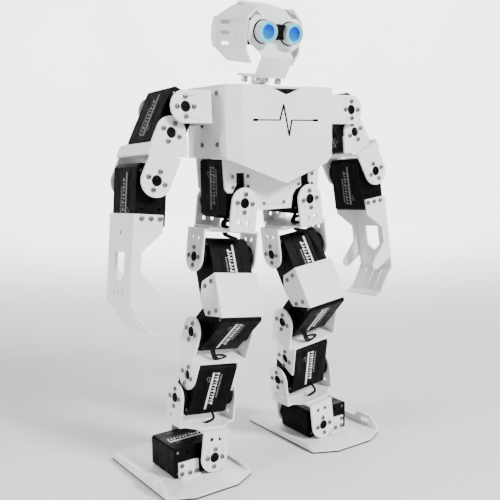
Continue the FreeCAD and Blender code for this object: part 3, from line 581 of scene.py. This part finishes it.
def joint_hardware():
    quarter = turned("Z", 90)
    for name, side in SIDES:
        limb = limbs[name]
        down = moved(0, 0, -2 * WEB_REACH)
        sets = {
            "hip": ((limb["hip"] @ quarter, limb["hip"] @ down), None),
            "ankle": ((limb["ankle"], limb["ankle"] @ down @ quarter), None),
            "shin": ((limb["shin"],), (limb["shin"], "ankle_pitch")),
            "upper_arm": ((limb["elbow"] @ quarter,), (limb["elbow"] @ quarter, "shoulder_roll")),
            "shoulder": ((limb["shoulder"] @ quarter,), None),
        }
        for part, (axes, mount) in sets.items():
            metal, plastic = bmesh.new(), bmesh.new()
            for matrix in axes:
                add_horns(metal, plastic, matrix)
            if mount:
                matrix, servo_joint = mount
                other = joint_place(f"{name}_{servo_joint}") - matrix.translation
                way = 1 if part == "upper_arm" else -1
                add_mount_screws(metal, matrix, way * (other.length - PLATE_SHIFT))
            if part == "shoulder":
                add_shoulder_output(metal, plastic, name, side)
            finish_hardware(f"{name}_{part}_hardware", f"{name}_{part}", metal, plastic)


def add_shoulder_output(metal, plastic, name, side):
    """The chest servo's horn, which turns the shoulder bracket's web."""
    limb = limbs[name]
    facing = limb["shoulder"] @ end_turn(side)
    low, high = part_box(f"{name}_shoulder_hardware")
    inner = abs((high.x if side > 0 else low.x) / MM - limb["shoulder"].translation.x)
    lathe(plastic, facing, (
        (WEB_REACH, HORN_RADIUS - 0.4),
        (WEB_REACH + 0.4, HORN_RADIUS),
        (inner - 0.4, HORN_RADIUS),
        (inner, HORN_RADIUS - 0.6),
    ))
    inward = facing @ moved(WEB_REACH - SHEET, 0, 0) @ turned("Z", 180)
    for across, along in FOUR_WAYS:
        add_screw(metal, inward @ moved(0, across * SCREW_CIRCLE, along * SCREW_CIRCLE))
    lathe(plastic, inward, ((-1, HUB_RADIUS), (0.3, HUB_RADIUS), (0.45, HUB_RADIUS - 0.4)), steps=28)
    add_screw(metal, inward @ moved(0.4, 0, 0), 0.8)


joint_hardware()


def thigh_screws():
    for name, _ in SIDES:
        body, matrix = servos[f"{name}_thigh_servo"]
        metal = bmesh.new()
        for way in (1, -1):
            facing = end_turn(way)
            for depth, up in THIGH_SCREWS:
                point = moved(way * (SERVO_DEPTH + SHEET), depth, up)
                add_screw(metal, matrix @ point @ facing @ turned("X", 5 * up))
        piece = finish_mesh(f"{name}_thigh_screw_heads", metal, STEEL, body)
        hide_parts(f"{name}_thigh_screws")


def face_screws(metal, place, spots, level, axis="Y", scale=1.0):
    """Screws on both sides of a frame's plane across Y or X, at (across, up) spots."""
    for way in (1, -1):
        for across, up in spots:
            if axis == "Y":
                point, facing = moved(across, way * level, up), turned("Z", way * 90)
            else:
                point, facing = moved(way * level, across, up), turned("Z", 90 - way * 90)
            add_screw(metal, place @ point @ facing @ turned("X", 7 * (across + up)), scale)


def torso_screws():
    hip = limbs["right"]["hip"].translation
    root = moved(0, hip.y, 0)
    pelvis = [(way * PELVIS_SCREW_SPREAD, PELVIS_SCREW_HEIGHT) for way in (1, -1)]
    for way in (1, -1):
        for across in HIP_SCREW_OFFSETS:
            for rise in HIP_SCREW_RISES:
                pelvis.append((way * (abs(hip.x) + across), hip.z + rise))
    metal = bmesh.new()
    face_screws(metal, root, pelvis, SERVO_DEPTH + SHEET, scale=0.75)
    chest = [(CHEST_SCREW_DEPTH, up) for up in CHEST_SCREW_HEIGHTS]
    face_screws(metal, root, chest, CHEST_HALF, axis="X")
    back = [(BACK_SCREW_DEPTH, up) for up in BACK_SCREW_HEIGHTS]
    face_screws(metal, root, back, CHEST_HALF - SHEET, axis="X")
    piece = finish_mesh("torso_screw_heads", metal, STEEL, "torso")
    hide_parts("torso_screws")


def hand_and_foot_screws():
    for name, side in SIDES:
        metal = bmesh.new()
        row = [(across, HAND_SCREW_DROP) for across in HAND_SCREW_OFFSETS]
        face_screws(metal, limbs[name]["forearm"], row, SERVO_DEPTH + HAND_SHEET)
        finish_mesh(f"{name}_hand_screw_heads", metal, STEEL, f"{name}_forearm")
        metal = bmesh.new()
        spots = [(side * across, up) for across, up in FOOT_SCREWS]
        face_screws(metal, limbs[name]["foot"], spots, SERVO_DEPTH + SHEET)
        finish_mesh(f"{name}_foot_screw_heads", metal, STEEL, f"{name}_foot")


thigh_screws()
torso_screws()
hand_and_foot_screws()


# Servo labels: a long bar, two rows of marks and a small frame, with no lettering
LABEL_LOW, LABEL_HIGH = -28.0, 6.0
LABEL_SKIN = 0.06
# Cable sockets in the back face, near the tail
SOCKET_SPREAD, SOCKET_HALF = 4.6, 3.9
SOCKET_LOW, SOCKET_HIGH = -27.5, -23.5


def add_label(bright, dim, matrix):
    face = -SERVO_WIDTH
    back = face + 0.02

    def mark(bm, left, right, low, high):
        block(bm, matrix, (left, face - LABEL_SKIN, low), (right, back, high))

    mark(bright, 2.1, 4.0, LABEL_LOW, LABEL_HIGH)
    up = LABEL_LOW + 0.5
    for index in range(11):
        tall = (2.0, 1.5, 2.3, 1.2)[index % 4]
        mark(bright, -2.6 + 0.5 * (index % 2), 1.0, up, up + tall * 0.45)
        mark(bright, -2.6, -1.4 + 0.3 * (index % 3), up + tall * 0.45, up + tall)
        up += tall + 0.95
    up = LABEL_LOW + 2.0
    for index in range(14):
        tall = (1.1, 0.7, 1.3)[index % 3]
        mark(dim, -5.4, -4.2 + 0.2 * (index % 2), up, up + tall)
        up += tall + 0.55
    for left, right, low, high in (
        (5.6, 8.2, -24.0, -23.6),
        (5.6, 6.0, -24.0, -19.5),
        (7.8, 8.2, -24.0, -21.0),
        (5.6, 7.0, -19.9, -19.5),
    ):
        mark(dim, left, right, low, high)


def add_case_screws(metal, matrix):
    """Four small screws that hold each cover of the case."""
    for way in (1, -1):
        facing = end_turn(way)
        for across in (-CASE_SCREW_SPREAD, CASE_SCREW_SPREAD):
            for up in CASE_SCREW_HEIGHTS:
                point = moved(way * (SERVO_DEPTH - 0.75), across, up)
                add_screw(metal, matrix @ point @ facing @ turned("X", 9 * up), 0.72)


def add_sockets(bm, matrix):
    """A nylon shell with three pin slots in each of the two cable sockets."""
    face = SERVO_WIDTH - 0.5
    for centre in (-SOCKET_SPREAD, SOCKET_SPREAD):
        low, high = SOCKET_LOW + 0.25, SOCKET_HIGH - 0.25
        left, right = centre - SOCKET_HALF + 0.25, centre + SOCKET_HALF - 0.25
        block(bm, matrix, (left, face - 2.4, low), (right, face - 1.6, high))
        block(bm, matrix, (left, face - 1.6, low), (right, face, low + 0.7))
        block(bm, matrix, (left, face - 1.6, high - 0.7), (right, face, high))
        for place in (left, centre - 1.7, centre + 1.0, right - 0.7):
            block(bm, matrix, (place, face - 1.6, low + 0.7), (place + 0.7, face, high - 0.7))


def dress_servos():
    for name, (body, matrix) in servos.items():
        bright, dim, metal, nylon = (bmesh.new() for _ in range(4))
        add_label(bright, dim, matrix)
        add_case_screws(metal, matrix)
        add_sockets(nylon, matrix)
        # The hip and arm servos' labels take the grey material as painted shade; the same print stays
        # bright on the other servos
        print_or_painted_shade = GREY_PRINT_AND_LABEL_SHADE if "hip" in name or "arm" in name else INK
        finish_mesh(f"{name}_label", bright, print_or_painted_shade, body)
        finish_mesh(f"{name}_sockets", nylon, CONNECTOR, body)
        finish_mesh(f"{name}_small_print", dim, GREY_PRINT_AND_LABEL_SHADE, body)
        finish_mesh(f"{name}_case_screws", metal, STEEL, body)


dress_servos()


# Eyes: two cans on a board, each with a lit lens and rim
def eyes():
    height, radius, front, base = EYE_HEIGHT, EYE_RADIUS, EYE_FRONT, EYE_BASE
    cans, dark, lens, rim = bmesh.new(), bmesh.new(), bmesh.new(), bmesh.new()
    for way in (-1, 1):
        # local X of a can points forward
        can = head_frame @ moved(way * EYE_SPREAD, 0, height) @ turned("Z", -90)
        lathe(cans, can, (
            (-base, radius - 0.3),
            (-front - 0.5, radius - 0.3),
            (-front, radius - 0.7),
            (-front, radius - 1.3),
            (-front - 2.6, radius - 1.5),
        ), steps=EYE_STEPS)
        lathe(dark, can, (
            (-FACE_FRONT - 2.3, radius + 0.35),
            (-FACE_FRONT + 0.5, radius + 0.35),
            (-FACE_FRONT + 0.9, radius + 0.05),
            (-FACE_FRONT + 0.9, radius - 0.5),
        ), steps=EYE_STEPS)
        lathe(rim, can, (
            (-front - 2.2, radius - 1.2),
            (-front - 0.2, radius - 1.2),
            (-front + 0.1, radius - 1.5),
            (-front - 0.9, radius - 2.3),
        ), steps=EYE_STEPS)
        lathe(lens, can, (
            (-front - 2.3, radius - 1.8),
            (-front - 1.3, radius - 1.9),
            (-front - 0.8, radius - 3.4),
            (-front - 0.55, radius - 5.2),
            (-front - 0.5, 0.6),
        ), steps=EYE_STEPS)
    # saddle-shaped housing between the cans
    block(dark, head_frame, (-7.1, front + 4.4, height - 5.0), (7.1, base, height + 6.0))
    block(dark, head_frame, (-22.5, base - 0.2, height - 10.5), (22.5, base + 1.4, height + 9.0))
    finish_mesh("eye_cans", cans, CAN, "head")
    finish_mesh("eye_rims", rim, RIM, "head")
    piece = finish_mesh("eye_housing", dark, BLACK, "head", bevel=0.5)
    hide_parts("ultrasonic_sensor")
    piece = finish_mesh("eye_lenses", lens, LENS, "head")
    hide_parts("sensor_lenses")


eyes()


# Servo leads, the neck's horn and posts, and the black strip of painted shade over the pulse line
def lead(name, place, points, radius=1.05):
    """A sheathed lead on a smooth line."""
    curve = bpy.data.curves.new(name, "CURVE")
    curve.dimensions = "3D"
    curve.bevel_depth = radius * MM
    curve.bevel_resolution = 3
    curve.resolution_u = 10
    curve.use_fill_caps = True
    spline = curve.splines.new("NURBS")
    spline.points.add(len(points) - 1)
    line = [(place @ Vector(point)) * MM for point in points]
    for point, target in zip(line, spline.points):
        target.co = (*point, 1)
    spline.order_u = 3
    spline.use_endpoint_u = True
    mesh = bpy.data.meshes.new_from_object(bpy.data.objects.new(name, curve))
    bpy.data.curves.remove(curve)
    mesh.materials.clear()
    mesh.materials.append(CABLE)
    shade_smooth(mesh)
    piece = bpy.data.objects.new(f"{name}_tube", mesh)
    add_to_scene(piece)
    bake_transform(piece)


# Each lead: the joint whose frame its points are in, the two bodies, and the points
LEADS = {
    "hip_lead": ("hip", ("torso", "hip"), (
        (-5, -10.5, -11.5), (-9, -14, -13.5), (-13, -14, -18), (-7, -15, -20.5), (0, -14, -17.5),
        (-2, -12, -14.5), (-8, -11, -15.5), (-7, -9, -20), (-4, -7, -22), (-4, -7, -26.5),
    )),
    "thigh_lead": ("thigh", ("hip", "thigh"), (
        (-3, -5, 23), (-4, -7.5, 20.5), (-6, -11, 17.5), (-2, -14.5, 15.5), (3, -14, 14.5),
        (5, -10.5, 12.5), (5, -8.5, 10),
    )),
    "knee_lead": ("shin", ("thigh", "shin"), (
        (-9, -7, -10), (-9.5, -11, -13), (-8, -12, -17.5), (-3, -11, -20.9), (3, -9.5, -20.9),
        (7, -7, -20.9), (3, -4, -21.0), (-4, -5, -21.0),
    )),
    "ankle_lead": ("ankle", ("shin", "ankle"), (
        (3, -9.5, -10.5), (4, -13.5, -13.5), (3, -15.5, -16.5), (-1, -12, -19.5),
        (-3.5, -8, -22), (-3.5, -7, -27),
    )),
}
# Leads with a thinner second strand beside them
PAIRED_LEADS = ("hip_lead", "thigh_lead", "knee_lead")


def servo_leads():
    for name, _ in SIDES:
        for part, (joint, bodies, points) in LEADS.items():
            lead(f"{name}_{part}", limbs[name][joint], points)
            if part in PAIRED_LEADS:
                beside = [(x + 2.4, y + 0.7, z + 0.5) for x, y, z in points]
                lead(f"{name}_{part}_second", limbs[name][joint], beside, radius=0.9)


def neck_fittings():
    neck = joint_place("neck_pan")
    top = moved(neck.x, neck.y, CHEST_TOP) @ turned("Y", -90)
    horn, posts = bmesh.new(), bmesh.new()
    lathe(horn, top, NECK_HORN)
    upright = head_frame @ turned("Y", -90)
    for across in (-POST_SPREAD, POST_SPREAD):
        for along in POST_DEPTHS:
            lathe(posts, upright @ moved(0, along, -across), NECK_POST, steps=24)
    finish_mesh("neck_horn", horn, BLACK, "head")
    finish_mesh("neck_posts", posts, BRIGHT, "head")


def pulse_painted_shade():
    """Painted shade over the pulse line: a dark bar for each stroke and one at each end, standing for
    the dark inside seen through the cut.
    """
    shade_strip = bmesh.new()
    place = moved(0, joint_place("neck_pan").y, 0)
    for (left, low), (right, high) in zip(PULSE_ROUTE, PULSE_ROUTE[1:]):
        run = Vector((right - left, 0, high - low))
        start = place @ moved(left, CHEST_FRONT, PULSE_HEIGHT + low)
        along = start @ turned("Y", -math.degrees(math.atan2(run.z, run.x)))
        half = PULSE_WIDTH / 2 if low == high else 0.8 * PULSE_WIDTH
        block(shade_strip, along, (-half / 2, -PULSE_SKIN, -half), (run.length + half / 2, PULSE_DEPTH, half))
    for end in (PULSE_ROUTE[0][0] + 2, PULSE_ROUTE[-1][0] - 2):
        tip = place @ moved(end, CHEST_FRONT, PULSE_HEIGHT)
        block(shade_strip, tip, (-2.2, -PULSE_SKIN, -PULSE_WIDTH), (2.2, PULSE_DEPTH, PULSE_WIDTH))
    finish_mesh("pulse_painted_shade", shade_strip, CASE, "torso")


servo_leads()
neck_fittings()
pulse_painted_shade()


# Stage, in metres: a pale floor that sweeps up into a round backdrop, soft light, camera
SWEEP = (
    (0, 2.0), (0.03, 2.25), (0.12, 2.5), (0.27, 2.72),
    (0.5, 2.89), (0.8, 3.0), (1.2, 3.02), (2.4, 3.02),
)
FLOOR_DROP = 0.2 * MM
# Soft lamps: name, place, diameter, watts; all point at LAMP_TARGET
SOFT_LAMPS = (
    ("key", (0.5, -1.25, 1.1), 0.45, 46),
    ("fill", (-1.35, 0.12, 0.55), 0.25, 12),
    ("top", (-0.3, 0.0, 1.6), 0.5, 9),
    ("rim", (0.5, 1.2, 1.0), 0.6, 1),
)
LAMP_TARGET = (0, 0, 0.2)
BACKDROP_LAMP = (0.2, 0.3, 2.7)
BACKDROP_TARGET = (1.6, 2.2, 0.3)
BACKDROP_WATTS = 1900
BACKDROP_ANGLE = 85
WORLD_STRENGTH = 0.03
# Camera: its place and target in millimetres, its lens in millimetres, its roll in degrees
CAMERA_EYE = (-356.0, -504.5, 265.9)
CAMERA_TARGET = (-9.9, -15.0, 177.5)
CAMERA_LENS = 53.0
CAMERA_SENSOR = 36.0
CAMERA_ROLL = -0.7


def add_floor():
    floor_mat, tree, shader = new_material("pale_floor", Roughness=0.75)
    shade = ramp(tree, noise(tree, 3.0), (0.76, 0.76, 0.76), (0.80, 0.80, 0.80))
    tree.links.new(shade, shader.inputs["Base Color"])
    bm = bmesh.new()
    lathe(bm, turned("Y", -90), SWEEP, steps=96, lid=False)
    bmesh.ops.reverse_faces(bm, faces=bm.faces)
    mesh = bpy.data.meshes.new("floor")
    bm.to_mesh(mesh)
    bm.free()
    mesh.materials.append(floor_mat)
    floor = bpy.data.objects.new("floor", mesh)
    floor.location.z = -FLOOR_DROP
    add_to_scene(floor)
    for polygon in mesh.polygons:
        polygon.use_smooth = len(polygon.vertices) == 4


def add_lamp(data, place, target):
    lamp = bpy.data.objects.new(data.name, data)
    lamp.location = place
    aim = Vector(target) - Vector(place)
    lamp.rotation_euler = aim.to_track_quat("-Z", "Y").to_euler()
    add_to_scene(lamp)


def add_lights():
    world = bpy.data.worlds.new("studio")
    world.use_nodes = True
    background = world.node_tree.nodes["Background"]
    background.inputs["Color"].default_value = (0.96, 0.98, 1.0, 1)
    background.inputs["Strength"].default_value = WORLD_STRENGTH
    bpy.context.scene.world = world
    for name, place, size, power in SOFT_LAMPS:
        data = bpy.data.lights.new(name, "AREA")
        data.shape = "DISK"
        data.size = size
        data.energy = power
        add_lamp(data, place, LAMP_TARGET)
    data = bpy.data.lights.new("backdrop", "SPOT")
    data.spot_size = math.radians(BACKDROP_ANGLE)
    data.spot_blend = 0.8
    data.shadow_soft_size = 0.4
    data.energy = BACKDROP_WATTS
    add_lamp(data, BACKDROP_LAMP, BACKDROP_TARGET)


def add_camera():
    eye, target = Vector(CAMERA_EYE) * MM, Vector(CAMERA_TARGET) * MM
    data = bpy.data.cameras.new("camera")
    data.lens = CAMERA_LENS
    data.sensor_width = CAMERA_SENSOR
    lens = bpy.data.objects.new("camera", data)
    lens.location = eye
    look = (target - eye).to_track_quat("-Z", "Y").to_matrix().to_4x4()
    roll = Matrix.Rotation(math.radians(CAMERA_ROLL), 4, "Z")
    lens.rotation_euler = (look @ roll).to_euler()
    add_to_scene(lens)
    bpy.context.scene.camera = lens


add_floor()
add_lights()
add_camera()
